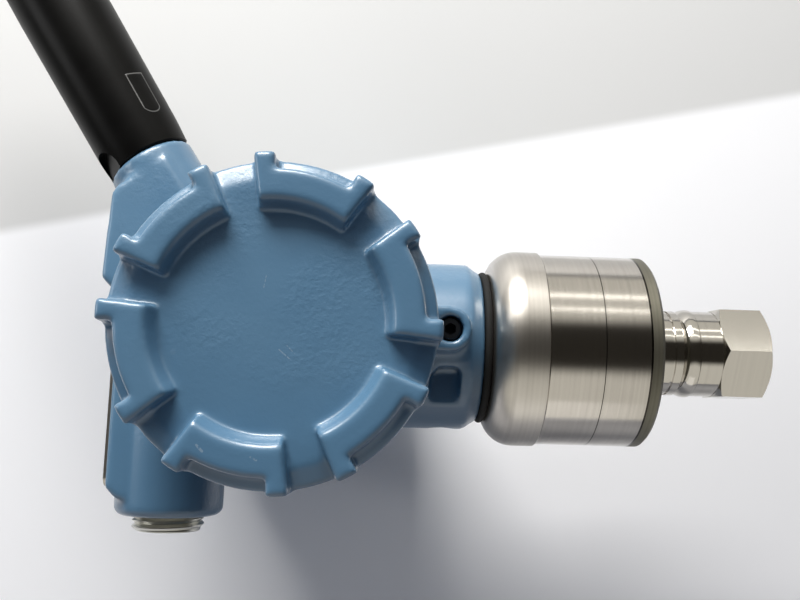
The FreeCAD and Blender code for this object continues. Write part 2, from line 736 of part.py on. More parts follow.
def front_cover():
    height = size("cover_face") - size("front_depth") - size("cover_gap")
    body = cover("front_cover", height, size("lug_phase"))
    place(body, y=-(size("front_depth") + size("cover_gap")), z=size("axis_height"),
          axis=(1, 0, 0), angle=90)


def rear_cover():
    height = size("rear_cover_face") - size("rear_depth") - size("cover_gap")
    body = cover("rear_cover", height, size("rear_phase"))
    place(body, y=size("rear_depth") + size("cover_gap"), z=size("axis_height"),
          axis=(1, 0, 0), angle=-90)


def cover_seal(label, face, outward):
    """Rubber ring in the groove at the root of a cover's spigot."""
    seal = doc.addObject("Part::Torus", label)
    section = size("cover_seal") * HALF
    bind(seal, "Radius1", spigot_dia * HALF - section)
    bind(seal, "Radius2", section - size("ring_clear"))
    inset = section + 0.2 - size("cover_gap")
    place(seal, y=(face - inset) * outward, z=size("axis_height"), axis=(1, 0, 0), angle=90)
    return keep(seal, label)


# ---------------------------------------------------------------- antenna

def antenna_place(thing):
    """Stand a body that is turned about its own Z on the antenna boss."""
    seat = size("antenna_seat")
    place(thing, x=seat * lean.cos(), z=above_axis("antenna_rise") + seat * lean.sin(),
          axis=(0, 1, 0), angle=90 - lean)
    return thing


def antenna_radome():
    """Hollow tapered tube with a rounded tip, a threaded foot and two wrench flats."""
    base, tip = size("antenna_base_dia") * HALF, size("antenna_tip_dia") * HALF
    wall, length = size("antenna_wall"), size("antenna_length")
    thread, reach = size("antenna_thread") * HALF, size("antenna_thread_reach")
    body = turned("antenna_radome", [
        (4, -reach), (thread - 0.8, -reach), (thread, 0.8 - reach), (thread, 0), (base - 0.4, 0),
        (base, 0.4), (tip, length - tip, tip), (0, length), (0, length - wall),
        (tip - wall, length - tip), (base - wall - 0.6, 6), (4, 6)])
    half, low = size("flat_width") * HALF, size("flat_start")
    high = low + size("flat_height")
    for reverse in (True, False):
        shift = base - size("flat_depth")
        flat = new_sketch(body, "YZ_Plane", (0, 0, shift if reverse else -shift))
        outline(flat, [
            (-half, low), (half, low), (half, high - half, half + 0.001), (-half, high - half)])
        pocket(body, flat, 6, reverse=reverse)
    return antenna_place(body)


def antenna_seal():
    seal = doc.addObject("Part::Torus", "antenna_seal")
    section = size("antenna_ring") * HALF
    bind(seal, "Radius1", size("antenna_thread") * HALF + section + 0.08)
    bind(seal, "Radius2", section - size("ring_clear"))
    seat = size("antenna_seat") - section
    place(seal, x=seat * lean.cos(), z=above_axis("antenna_rise") + seat * lean.sin(),
          axis=(0, 1, 0), angle=90 - lean)
    return keep(seal, "antenna_seal")


def antenna_element():
    """Strip board with its round foot, standing on the radome's inner floor."""
    body = new_body("antenna_element")
    foot = new_sketch(body, "XY_Plane", (0, 0, 6))
    ring(foot, 0, 0, 16)
    pad(body, foot, 3)
    strip = new_sketch(body, "XY_Plane", (0, 0, 8.8))
    half, thin = size("element_width") * HALF, size("element_thick") * HALF
    outline(strip, [(-half, -thin), (half, -thin), (half, thin), (-half, thin)])
    pad(body, strip, size("antenna_length") - 30)
    return antenna_place(body)


# ---------------------------------------------------------------- plug, plate and screws

def conduit_plug():
    """Socket plug left a few threads proud of its boss."""
    outer, long, proud = size("plug_dia") * HALF, size("plug_length"), size("plug_proud")
    body = turned("conduit_plug", [
        (0, 0.3 - long), (outer - 1.6, 0.3 - long), (outer, 2 - long), (outer, proud - 1),
        (outer - 0.9, proud), (0, proud)])
    key = new_sketch(body, "XY_Plane", (0, 0, proud))
    corner = size("plug_key") * (1 / math.sqrt(3))
    angles = [as_size(60 * step) for step in range(6)]
    outline(key, [(corner * angle.cos(), corner * angle.sin()) for angle in angles])
    pocket(body, key, size("plug_key") * 0.9)
    place(body, x=-size("conduit_end"), z=above_axis("conduit_rise"), axis=(0, 1, 0), angle=-90)


def socket_screw(label, head, head_height, thread, length, key):
    """Screw with a hex socket; local Z zero under the head, shank down."""
    body = turned(label, [
        (0, -length), (thread * HALF - 0.3, -length), (thread * HALF, 0.3 - length),
        (thread * HALF, 0), (head * HALF, 0), (head * HALF, head_height - 0.4),
        (head * HALF - 0.4, head_height), (0, head_height)])
    socket = new_sketch(body, "XY_Plane", (0, 0, head_height))
    corner = as_size(key) * (1 / math.sqrt(3))
    angles = [as_size(60 * step) for step in range(6)]
    outline(socket, [(corner * angle.cos(), corner * angle.sin()) for angle in angles])
    pocket(body, socket, head_height * 0.7)
    return body


def jam_screws():
    """The screw at the foot of each cover, sunk in its boss."""
    head = size("jam_head") - 1.2
    depth = size("jam_head_depth")
    rear_face = size("rear_depth") - size("front_depth") + size("jam_boss_face")
    for label, face, angle in (("front_cover_lock_screw", depth - size("jam_boss_face"), 90),
                               ("rear_cover_lock_screw", rear_face - depth, -90)):
        screw = socket_screw(label, head, depth - 1, size("jam_thread"), as_size(8.5), 3)
        place(screw, x=size("jam_offset"), y=face, z=size("jam_height"), axis=(1, 0, 0), angle=angle)


def housing_set_screw():
    """Locks the housing's turn on the sensor module."""
    thread, length = size("set_screw"), size("set_screw_length") - 1.4
    body = turned("housing_set_screw", [
        (0, -length), (1.2, -length), (thread * HALF, 1.2 - length), (thread * HALF, 0), (0, 0)])
    socket = new_sketch(body, "XY_Plane")
    corner = as_size(2.5 / math.sqrt(3))
    angles = [as_size(60 * step) for step in range(6)]
    outline(socket, [(corner * angle.cos(), corner * angle.sin()) for angle in angles])
    pocket(body, socket, 2.5)
    place(body, x=0.6 - size("neck_dia") * HALF, z=size("set_screw_height"), axis=(0, 1, 0), angle=-90)


def top_plate():
    """Plain metal plate on the hump."""
    body = new_body("top_plate")
    sheet_metal = new_sketch(body, "XY_Plane", (0, 0, above_axis("hump_rise")))
    half, wide = size("plate_length") * HALF, size("plate_width") * HALF
    middle, corner = size("plate_centre"), size("plate_corner")
    left, right = middle - half, middle + half
    outline(sheet_metal, [
        (left + corner, -wide), (right - corner, -wide, corner), (right, corner - wide),
        (right, wide - corner, corner), (right - corner, wide), (left + corner, wide, corner),
        (left, wide - corner), (left, corner - wide, corner)])
    pad(body, sheet_metal, size("plate_thick"))
    for across in plate_pin_places():
        hole(body, "XY_Plane", (0, 0, above_axis("hump_rise")), across, 0,
             size("pin_dia") * HALF + 0.1, 3, reverse=True)


def plate_pin_places():
    reach = size("plate_length") * HALF - 5
    return (size("plate_centre") - reach, size("plate_centre") + reach)


def plate_pins():
    """Two drive pins through the plate."""
    body = new_body("top_plate_pins")
    top = above_axis("hump_rise") + size("plate_thick")
    for diameter, low, length in ((size("pin_dia"), top, size("pin_head")),
                                  (size("pin_dia") * HALF, top - 4, as_size(4.2))):
        shape = new_sketch(body, "XY_Plane", (0, 0, low))
        for across in plate_pin_places():
            ring(shape, across, 0, diameter)
        pad(body, shape, length)


def ground_terminal():
    """Ground screw with its clamp washer on the flank of the rear chamber."""
    reach = size("barrel_dia") * HALF + size("ground_pad") + 1.2
    angle = size("ground_angle")
    x, z = -(reach * angle.cos()), size("axis_height") - reach * angle.sin()
    screw = socket_screw("ground_screw", size("ground_screw") * 1.7, as_size(3.4),
                         size("ground_screw"), as_size(7), 4)
    washer = turned("ground_washer", [
        (size("ground_screw") * HALF + 0.15, -1.2), (5.2, -1.2), (5.2, 0),
        (size("ground_screw") * HALF + 0.15, 0)])
    for thing in (screw, washer):
        place(thing, x=x, y=size("ground_y"), z=z, axis=(0, 1, 0), angle=-90 - angle)


# ---------------------------------------------------------------- inside the chambers

def facing_front(label, corners, face, up=None):
    """A body turned about a line along Y; its local Z runs toward the front cover."""
    body = turned(label, corners)
    place(body, y=face, z=size("axis_height") if up is None else up, axis=(1, 0, 0), angle=90)
    return body


def electronics_carrier():
    """Moulded cup on the divider, with two screw tubes and a slot for the lead."""
    outer, wall, floor = size("carrier_dia") * HALF, size("carrier_wall"), size("carrier_floor")
    ledge, deep = size("board_depth"), size("board_depth") + size("board_thick") + 3
    board = size("main_board_dia") * HALF + 0.1
    body = facing_front("electronics_carrier", [
        (0, 0), (outer, 0), (outer, deep), (board, deep), (board, ledge),
        (board - 1.6, ledge), (outer - wall - 1.6, floor + 2), (outer - wall - 1.6, floor), (0, floor)],
        size("divider_front"))
    tubes = new_sketch(body, "XY_Plane", (0, 0, floor - 0.5))
    for side in (-1, 1):
        ring(tubes, size("carrier_screw_x") * side, 0, size("screw_head") + 1)
    pad(body, tubes, ledge - floor + 0.5)
    for side in (-1, 1):
        hole(body, "XY_Plane", (0, 0, 0), size("carrier_screw_x") * side, 0,
             size("screw_thread") + size("slip"), ledge + 1, reverse=True)
    slot = new_sketch(body, "XZ_Plane", (0, 0, outer - 8))
    reach = size("divider_front")
    half = size("lead_dia") * HALF + 2
    low, high = reach - half, reach + half
    outline(slot, [(-half, low), (half, low), (half, high), (-half, high)])
    pocket(body, slot, 12, reverse=True)


def main_board():
    outer, thick = size("main_board_dia") * HALF, size("board_thick")
    face = size("divider_front") - size("board_depth")
    body = facing_front("main_board", [(0, 0), (outer, 0), (outer, thick), (0, thick)], face)
    for side in (-1, 1):
        hole(body, "XY_Plane", (0, 0, 0), size("carrier_screw_x") * side, 0,
             size("screw_thread") + size("slip"), 4, reverse=True)
    return body


def board_parts():
    """Shield, radio can and connector on the main board."""
    body = new_body("board_components")
    face = size("divider_front") - size("board_depth") - size("board_thick")
    shield, radio, socket = (-14, -20, 28, 13, 3.2), (-9, 8, 18, 12, 2.2), (-12, -3, 8, 7, 1.4)
    for left, low, wide, tall, high in (shield, radio, socket):
        block = new_sketch(body, "XY_Plane")
        outline(block, [(left, low), (left + wide, low), (left + wide, low + tall), (left, low + tall)])
        pad(body, block, as_size(high))
    bridge = new_sketch(body, "XY_Plane")
    outline(bridge, [(-6, -8), (2, -8), (2, 9), (-6, 9)])
    pad(body, bridge, as_size(0.5))
    place(body, y=face, z=size("axis_height"), axis=(1, 0, 0), angle=90)


def carrier_screws():
    """Two captive screws that hold the board and carrier to the divider."""
    body = new_body("carrier_screws")
    top = size("board_depth") + size("board_thick")
    long = top + size("divider_thick") - 1.2
    for diameter, low, high in ((size("screw_head"), top, as_size(2.4)),
                                (size("screw_thread"), top - long, long + 0.5)):
        shape = new_sketch(body, "XY_Plane", (0, 0, low))
        for side in (-1, 1):
            ring(shape, size("carrier_screw_x") * side, 0, diameter)
        pad(body, shape, high)
    place(body, y=size("divider_front"), z=size("axis_height"), axis=(1, 0, 0), angle=90)


def lead_plug():
    """Round plug that sits on the sensor module's socket and turns with the housing."""
    outer = size("socket_dia") * HALF - 2
    low = web_top + size("socket_height") + size("running_gap")
    high = low + size("plug_height")
    return turned("sensor_lead_plug", [
        (0, low), (outer, low), (outer, high - 1), (outer - 1, high), (0, high)])


def sensor_lead():
    """Lead from the plug, up through the neck and forward to the back of the board."""
    low = web_top + size("socket_height") + size("running_gap") + size("plug_height")
    bend = size("lead_bend")
    rise = size("axis_height") - size("dome_top") - size("header_reach") - size("lead_short")
    end = size("board_depth") - size("divider_front")
    body = new_body("sensor_lead")
    path = new_sketch(body, "YZ_Plane")
    first = path.addGeometry(Part.LineSegment(
        Vector(0, low.value, 0), Vector(0, (low + rise).value, 0)))
    second = path.addGeometry(arc_between(
        Vector(0, (low + rise).value, 0), Vector(-bend.value, (low + rise + bend).value, 0),
        bend.value))
    third = path.addGeometry(Part.LineSegment(
        Vector(-bend.value, (low + rise + bend).value, 0),
        Vector(-end.value, (low + rise + bend).value, 0)))
    path.addConstraint(Sketcher.Constraint("Coincident", first, 2, second, 1))
    path.addConstraint(Sketcher.Constraint("Coincident", second, 2, third, 1))
    pin(path, first, 1, 0, low)
    pin(path, first, 2, 0, low + rise)
    pin(path, second, 2, -bend, low + rise + bend)
    pin(path, third, 2, -end, low + rise + bend)
    radius = path.addConstraint(Sketcher.Constraint("Radius", second, bend.value))
    path.setExpression("Constraints[%d]" % radius, bend.text)
    section = new_sketch(body, "XY_Plane", (0, 0, low))
    ring(section, 0, 0, size("lead_dia"))
    doc.recompute()
    pipe = body.newObject("PartDesign::AdditivePipe", "sensor_lead_pipe")
    pipe.Profile = section
    pipe.Spine = path
    pipe.Mode = "Standard"
    path.Visibility = False
    return body


def terminal_block():
    """Moulded block on the divider that carries the two test terminals and battery contacts."""
    outer, high = size("terminal_dia") * HALF, size("terminal_height")
    body = turned("terminal_block", [
        (0, 0), (outer, 0), (outer, high - 1), (outer - 1, high), (0, high)])
    for across, up in terminal_screw_places():
        hole(body, "XY_Plane", (0, 0, 0), across, size("axis_height") - up,
             size("screw_thread") + size("slip"), 8, reverse=True)
    place(body, y=divider_rear, z=size("axis_height"), axis=(1, 0, 0), angle=-90)


def terminal_screws():
    """The block's two fixing screws."""
    body = new_body("terminal_block_screws")
    top = size("terminal_height")
    long = top + size("divider_thick") - 1.2
    for diameter, low, high in ((size("screw_head"), top, as_size(2.4)),
                                (size("screw_thread"), top - long, long + 0.5)):
        shape = new_sketch(body, "XY_Plane", (0, 0, low))
        for across, up in terminal_screw_places():
            ring(shape, across, size("axis_height") - up, diameter)
        pad(body, shape, high)
    place(body, y=divider_rear, z=size("axis_height"), axis=(1, 0, 0), angle=-90)


def comm_terminals():
    """Two test terminals that stand on the block beside the battery."""
    body = new_body("comm_terminals")
    for diameter, high in ((size("comm_dia"), as_size(3)), (size("comm_dia") - 3, as_size(5))):
        shape = new_sketch(body, "XY_Plane", (0, 0, size("terminal_height")))
        for side in (-1, 1):
            ring(shape, size("comm_x") * side, size("axis_height") - above_axis("comm_rise"), diameter)
        pad(body, shape, high)
    place(body, y=divider_rear, z=size("axis_height"), axis=(1, 0, 0), angle=-90)


def battery_module():
    """Sealed battery module, pushed on to the terminal block; a flat keys its turn."""
    outer = (size("cover_thread") - size("battery_gap")) * HALF
    long, key = size("battery_length"), size("battery_key")
    body = turned("battery_module", [
        (0, 0), (outer - 3, 0), (outer - 3, 3), (outer, 6), (outer, long - 2),
        (outer - 2, long), (0, long)])
    flat = new_sketch(body, "XZ_Plane", (0, 0, key + 2))
    outline(flat, [(-outer, 2.99), (outer, 2.99), (outer, long + 1), (-outer, long + 1)])
    pocket(body, flat, outer, reverse=True)
    place(body, y=divider_rear + size("terminal_height"), z=size("axis_height") - size("battery_drop"),
          axis=(1, 0, 0), angle=-90)


SUB_PARTS = (
    process_fitting, isolating_diaphragm, base_plate, module_can, module_header, neck_seal,
    sensor_cell, capillary_tube, board_spacers, module_board, module_ribbon, header_connector,
    housing, top_plate, plate_pins, jam_screws, housing_set_screw, ground_terminal, conduit_plug,
    antenna_radome, antenna_seal, antenna_element, electronics_carrier, main_board, board_parts,
    carrier_screws, lead_plug, sensor_lead, terminal_block, terminal_screws, comm_terminals,
    battery_module, front_cover, rear_cover,
)

for make in SUB_PARTS:
    make()
cover_seal("front_cover_seal", size("front_depth"), -1)
cover_seal("rear_cover_seal", size("rear_depth"), 1)
doc.recompute()

os.makedirs("parts", exist_ok=True)
for thing in doc.Objects:
    if "Invalid" in thing.State or "Error" in thing.State:
        raise RuntimeError(thing.Name + " did not build")
for thing in FINISHED:
    if thing.Shape.isNull() or not thing.Shape.isValid():
        raise RuntimeError(thing.Label + " has no valid shape")
    thing.Shape.exportStep(os.path.join("parts", thing.Label + ".step"))
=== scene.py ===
import math

import bmesh
import bpy
from mathutils import Matrix, Vector


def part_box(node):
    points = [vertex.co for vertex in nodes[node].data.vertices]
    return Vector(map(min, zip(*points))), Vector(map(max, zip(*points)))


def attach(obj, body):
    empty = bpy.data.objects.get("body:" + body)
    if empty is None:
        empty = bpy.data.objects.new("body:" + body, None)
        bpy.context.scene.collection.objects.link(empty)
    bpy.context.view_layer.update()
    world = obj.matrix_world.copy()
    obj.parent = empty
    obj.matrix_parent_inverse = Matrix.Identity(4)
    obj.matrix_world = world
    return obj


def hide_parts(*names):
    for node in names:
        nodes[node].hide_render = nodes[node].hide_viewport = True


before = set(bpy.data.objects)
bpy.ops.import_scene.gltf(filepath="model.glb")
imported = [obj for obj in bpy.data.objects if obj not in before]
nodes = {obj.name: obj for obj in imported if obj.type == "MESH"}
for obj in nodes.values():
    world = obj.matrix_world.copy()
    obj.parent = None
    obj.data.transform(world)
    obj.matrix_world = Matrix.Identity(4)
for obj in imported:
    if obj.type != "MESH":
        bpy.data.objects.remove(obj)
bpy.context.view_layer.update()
print("frame loaded,", len(nodes), "nodes")

mm = 0.001


def corners(box):
    return [Vector(corner) for corner in box]


coverLow, coverHigh = corners(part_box("front_cover"))
rearHigh = corners(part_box("rear_cover"))[1]
barrelHeight = (coverLow.z + coverHigh.z) / 2  # the barrel's axis runs along Y at this height


# node trees

def joinOrSet(tree, socket, value):
    if isinstance(value, bpy.types.NodeSocket):
        tree.links.new(value, socket)
    else:
        socket.default_value = value


def newMaterial(name, settings):
    material = bpy.data.materials.new(name)
    material.use_nodes = True
    shader = material.node_tree.nodes["Principled BSDF"]
    for socket, value in settings.items():
        shader.inputs[socket].default_value = value
    return material, material.node_tree, shader


def addNode(tree, kind, settings=None, **inputs):
    # an underscore in an input's name stands for the space in its socket's name
    node = tree.nodes.new("ShaderNode" + kind)
    for name, value in (settings or {}).items():
        setattr(node, name, value)
    for name, value in inputs.items():
        joinOrSet(tree, node.inputs[name.replace("_", " ")], value)
    return node


def useGroup(tree, group, **inputs):
    return addNode(tree, "Group", {"node_tree": group}, **inputs).outputs


def noise(tree, place, scale, detail, **more):
    node = addNode(tree, "TexNoise", Vector=place, Scale=scale, Detail=detail, **more)
    return node.outputs["Fac"]


def maths(tree, operation, first, second=0.0, third=None, clamp=False):
    node = addNode(tree, "Math", {"operation": operation, "use_clamp": clamp})
    for socket, value in zip(node.inputs, (first, second, third)):
        if value is not None:
            joinOrSet(tree, socket, value)
    return node.outputs[0]


def ramp(tree, value, low, high):
    node = addNode(tree, "MapRange", {"interpolation_type": "SMOOTHSTEP"},
                   Value=value, From_Min=low, From_Max=high)
    return node.outputs["Result"]


def mixColour(tree, factor, first, second):
    node = addNode(tree, "Mix", {"data_type": "RGBA"})
    # the colour sockets share their names with the others, so they go by number
    for index, value in ((0, factor), (6, first), (7, second)):
        joinOrSet(tree, node.inputs[index], value)
    return node.outputs[2]


def objectPlace(tree, turn=(0, 0, 0)):
    coordinates = addNode(tree, "TexCoord")
    mapping = addNode(tree, "Mapping", Vector=coordinates.outputs["Object"], Rotation=turn)
    return mapping.outputs["Vector"]


def newGroup(name, inputs, outputs):
    group = bpy.data.node_groups.new(name, "ShaderNodeTree")
    for label, kind, value in inputs:
        socket = group.interface.new_socket(
            label, in_out="INPUT", socket_type="NodeSocket" + kind)
        if value is not None:
            socket.default_value = value
    for label, kind in outputs:
        group.interface.new_socket(label, in_out="OUTPUT", socket_type="NodeSocket" + kind)
    given = group.nodes.new("NodeGroupInput").outputs
    return group, given, group.nodes.new("NodeGroupOutput").inputs


def dressShader(tree, shader, colour, gloss, height, strength, depth):
    bump = addNode(tree, "Bump", Strength=strength, Distance=depth, Height=height)
    tree.links.new(colour, shader.inputs["Base Color"])
    tree.links.new(gloss, shader.inputs["Roughness"])
    tree.links.new(bump.outputs["Normal"], shader.inputs["Normal"])


# shared effects

grainLook = {"peel": 900.0, "skin": 620.0, "waves": 60.0, "waveShare": 0.5,
             "patches": 26.0, "patchRange": (0.44, 0.62)}


def makeCastGrain():
    # orange peel of a sprayed coat over the coarser skin of the casting below it
    group, given, out = newGroup(
        "castGrain",
        [("Vector", "Vector", None), ("Peel", "Float", 0.3), ("Skin", "Float", 0.5)],
        [("Height", "Float")])
    place = given["Vector"]
    peel = noise(group, place, grainLook["peel"], 2.0)
    skin = noise(group, place, grainLook["skin"], 4.0, Roughness=0.6)
    waves = noise(group, place, grainLook["waves"], 1.0)
    patches = noise(group, place, grainLook["patches"], 2.0)
    high = maths(group, "MULTIPLY", peel, given["Peel"])
    rough = maths(group, "MULTIPLY", skin, given["Skin"])
    rough = maths(group, "MULTIPLY", rough, ramp(group, patches, *grainLook["patchRange"]))
    total = maths(group, "ADD", high, rough)
    swell = maths(group, "MULTIPLY", waves, grainLook["waveShare"])
    group.links.new(maths(group, "ADD", total, swell), out["Height"])
    return group


wearAndShadeLook = {"patchRange": (0.42, 0.62), "hollowShadeBelow": 0.49, "hollowShadeGain": 14.0}


def makeEdgeWearAndHollowShade():
    # masks of the raised edges for wear, broken up by noise, and of the hollows for painted shade
    group, given, out = newGroup(
        "edgeWearAndHollowShade",
        [("Vector", "Vector", None), ("Start", "Float", 0.52), ("Full", "Float", 0.6),
         ("Patch", "Float", 130.0)],
        [("Edge", "Float"), ("Hollow", "Float")])
    raised = addNode(group, "NewGeometry").outputs["Pointiness"]
    patches = noise(group, given["Vector"], given["Patch"], 5.0)
    sharp = addNode(group, "MapRange", Value=raised, From_Min=given["Start"],
                    From_Max=given["Full"])
    broken = ramp(group, patches, *wearAndShadeLook["patchRange"])
    edge = maths(group, "MULTIPLY", sharp.outputs["Result"], broken, clamp=True)
    # painted shade: the further the pointiness falls below the start, the darker the hollow
    paintedShade = maths(group, "SUBTRACT", wearAndShadeLook["hollowShadeBelow"], raised)
    hollowShade = maths(group, "MULTIPLY", paintedShade, wearAndShadeLook["hollowShadeGain"], clamp=True)
    group.links.new(edge, out["Edge"])
    group.links.new(hollowShade, out["Hollow"])
    return group


def makeFineLines():
    # thin lines across the incoming vector's Z, as a tool or belt leaves them
    group, given, out = newGroup(
        "fineLines",
        [("Vector", "Vector", None), ("Fine", "Float", 4000.0), ("Broad", "Float", 500.0)],
        [("Height", "Float"), ("Tone", "Float")])
    along = addNode(group, "SeparateXYZ", Vector=given["Vector"]).outputs["Z"]
    fine, broad = [
        addNode(group, "TexNoise", {"noise_dimensions": "1D"}, W=along, Scale=given[label],
                Detail=detail).outputs["Fac"]
        for label, detail in (("Fine", 3.0), ("Broad", 2.0))]
    group.links.new(maths(group, "ADD", fine, broad), out["Height"])
    group.links.new(broad, out["Tone"])
    return group


scratchLook = {"breaks": 1500.0, "breakRange": (0.36, 0.56), "faceBefore": -0.05,
               "strength": 0.4}


def makeScratch():
    # one short mark between two points on the face that looks to -Y
    group, given, out = newGroup(
        "scratch",
        [("Vector", "Vector", None), ("Start", "Vector", None), ("End", "Vector", None),
         ("Half", "Float", 0.0001)],
        [("Mark", "Float")])

    def vectorMaths(operation, first, second, result="Vector"):
        node = addNode(group, "VectorMath", {"operation": operation})
        joinOrSet(group, node.inputs[0], first)
        joinOrSet(group, node.inputs[3 if operation == "SCALE" else 1], second)
        return node.outputs[result]

    flat = vectorMaths("MULTIPLY", given["Vector"], (1, 0, 1))
    along = vectorMaths("SUBTRACT", given["End"], given["Start"])
    here = vectorMaths("SUBTRACT", flat, given["Start"])
    share = maths(group, "DIVIDE", vectorMaths("DOT_PRODUCT", here, along, "Value"),
                  vectorMaths("DOT_PRODUCT", along, along, "Value"), clamp=True)
    nearest = vectorMaths("SCALE", along, share)
    away = vectorMaths("DISTANCE", here, nearest, "Value")
    breaks = noise(group, given["Vector"], scratchLook["breaks"], 2.0)
    worn = ramp(group, breaks, *scratchLook["breakRange"])
    depth = addNode(group, "SeparateXYZ", Vector=given["Vector"]).outputs["Y"]
    facing = maths(group, "LESS_THAN", depth, scratchLook["faceBefore"])
    mark = maths(group, "MULTIPLY", maths(group, "LESS_THAN", away, given["Half"]), worn)
    shown = maths(group, "MULTIPLY", facing, scratchLook["strength"])
    group.links.new(maths(group, "MULTIPLY", mark, shown), out["Mark"])
    return group


scratch = makeScratch()
castGrain = makeCastGrain()
edgeWearAndHollowShade = makeEdgeWearAndHollowShade()
fineLines = makeFineLines()


# finishes

bluePaint = {
    "colour": (0.080, 0.180, 0.290, 1),
    "pale": (0.135, 0.255, 0.365, 1),
    # painted shade, laid into the hollows
    "paintedShade": (0.028, 0.075, 0.148, 1),
    "scuff": (0.36, 0.43, 0.50, 1),
    "roughness": 0.36, "glossRange": 0.14, "glossDrop": 0.07,
    "specular": 0.6, "coat": 0.5, "coatRoughness": 0.2,
    "clouds": 28.0, "cloudRange": (0.3, 0.75), "cloudShare": 0.22,
    "paintedShadeShare": 0.55, "edgeShare": 0.55,
    "chips": 170.0, "chipSize": 0.13, "chipPatches": 34.0, "chipRange": (0.60, 0.70),
    "chipFloor": 0.15,  # how strongly the chips away from the edges show
    "peel": 0.22, "skin": 1.3, "bump": 0.42, "depth": 0.0004,
    # each scratch: start, end and half width in millimetres on the front cover's face
    "scratches": [((-7, 145), (-9.5, 142), 0.13), ((-6, 143), (-8, 141), 0.09),
                  ((8.5, 149.5), (11.5, 149), 0.10), ((-31, 163), (-32.4, 161.6), 0.3),
                  ((-33.5, 150), (-34.2, 148.6), 0.22)],
}


def makeBluePaint():
    look = bluePaint
    material, tree, shader = newMaterial("bluePaint", {
        "Roughness": look["roughness"], "Specular IOR Level": look["specular"],
        "Coat Weight": look["coat"], "Coat Roughness": look["coatRoughness"]})
    place = objectPlace(tree)
    wearAndShade = useGroup(tree, edgeWearAndHollowShade, Vector=place)
    clouds = noise(tree, place, look["clouds"], 3.0)
    tone = ramp(tree, clouds, *look["cloudRange"])
    colour = look["colour"]
    # a random paler tone, painted shade in the hollows and paler wear on the raised edges
    layers = [(tone, "cloudShare", "pale"), (wearAndShade["Hollow"], "paintedShadeShare", "paintedShade"),
              (wearAndShade["Edge"], "edgeShare", "pale")]
    for mask, share, other in layers:
        colour = mixColour(tree, maths(tree, "MULTIPLY", mask, look[share]), colour, look[other])
    # small chips in patches, strongest on the edges
    chips = addNode(tree, "TexVoronoi", Vector=place, Scale=look["chips"], Randomness=1.0)
    few = ramp(tree, noise(tree, place, look["chipPatches"], 2.0), *look["chipRange"])
    small = maths(tree, "LESS_THAN", chips.outputs["Distance"], look["chipSize"])
    chip = maths(tree, "MULTIPLY", small, few)
    worn = maths(tree, "ADD", wearAndShade["Edge"], look["chipFloor"], clamp=True)
    colour = mixColour(tree, maths(tree, "MULTIPLY", chip, worn), colour, look["scuff"])
    for start, end, half in look["scratches"]:
        mark = useGroup(tree, scratch, Vector=place, Start=(start[0] * mm, 0, start[1] * mm),
                        End=(end[0] * mm, 0, end[1] * mm), Half=half * mm)
        colour = mixColour(tree, mark["Mark"], colour, look["scuff"])
    grain = useGroup(tree, castGrain, Vector=place, Peel=look["peel"], Skin=look["skin"])
    gloss = maths(tree, "MULTIPLY_ADD", clouds, look["glossRange"],
                  look["roughness"] - look["glossDrop"])
    dressShader(tree, shader, colour, gloss, grain["Height"], look["bump"], look["depth"])
    return material


upright = (0, 0, 0)
sideways = (0, math.radians(90), 0)  # brings the X axis to Z
inward = (math.radians(90), 0, 0)    # brings the Y axis to Z

stainless = {
    "colour": (0.56, 0.53, 0.49, 1),
    "shade": (0.40, 0.375, 0.345, 1),
    "etch": (0.05, 0.045, 0.04, 1),
    "roughness": 0.17, "glossRange": 0.12, "glossDrop": 0.05,
    "stains": 0.35, "stainScale": 45.0, "bandShare": 0.3, "shadeRange": (0.15, 0.75),
    "lines": 5200.0, "bands": 900.0, "bump": 0.3, "depth": 0.00003,
    "turn": upright,
    # dark rings, each with its height and half width, and where the satin starts, in millimetres
    "etched": [], "satinAbove": None, "satinEdge": 0.5, "satin": 0.15,
}
steels = {
    "canSteel": dict(stainless, etched=[(55.2, 0.13), (42.0, 0.35)], satinAbove=70.9),
    "rimSteel": dict(stainless, colour=(0.20, 0.19, 0.155, 1), shade=(0.13, 0.125, 0.10, 1),
                     roughness=0.5, stains=0.5),
    "fittingSteel": dict(stainless, colour=(0.54, 0.515, 0.475, 1), shade=(0.36, 0.34, 0.31, 1),
                         roughness=0.14, lines=3400.0, bands=700.0, stains=0.15),
    "plateSteel": dict(stainless, roughness=0.34, turn=sideways),
    "plugZinc": dict(stainless, colour=(0.70, 0.69, 0.63, 1), shade=(0.50, 0.50, 0.47, 1),
                     roughness=0.3, stains=0.5, turn=sideways),
    "screwSteel": dict(stainless, colour=(0.46, 0.45, 0.43, 1), shade=(0.32, 0.31, 0.30, 1),
                       roughness=0.34, turn=inward),
    "darkSteel": dict(stainless, colour=(0.022, 0.024, 0.028, 1),
                      shade=(0.012, 0.013, 0.015, 1), roughness=0.5, turn=inward),
    "boardTin": dict(stainless, colour=(0.62, 0.62, 0.63, 1), shade=(0.45, 0.45, 0.46, 1),
                     roughness=0.34),
    "brass": dict(stainless, colour=(0.62, 0.46, 0.20, 1), shade=(0.45, 0.31, 0.12, 1),
                  roughness=0.34),
}


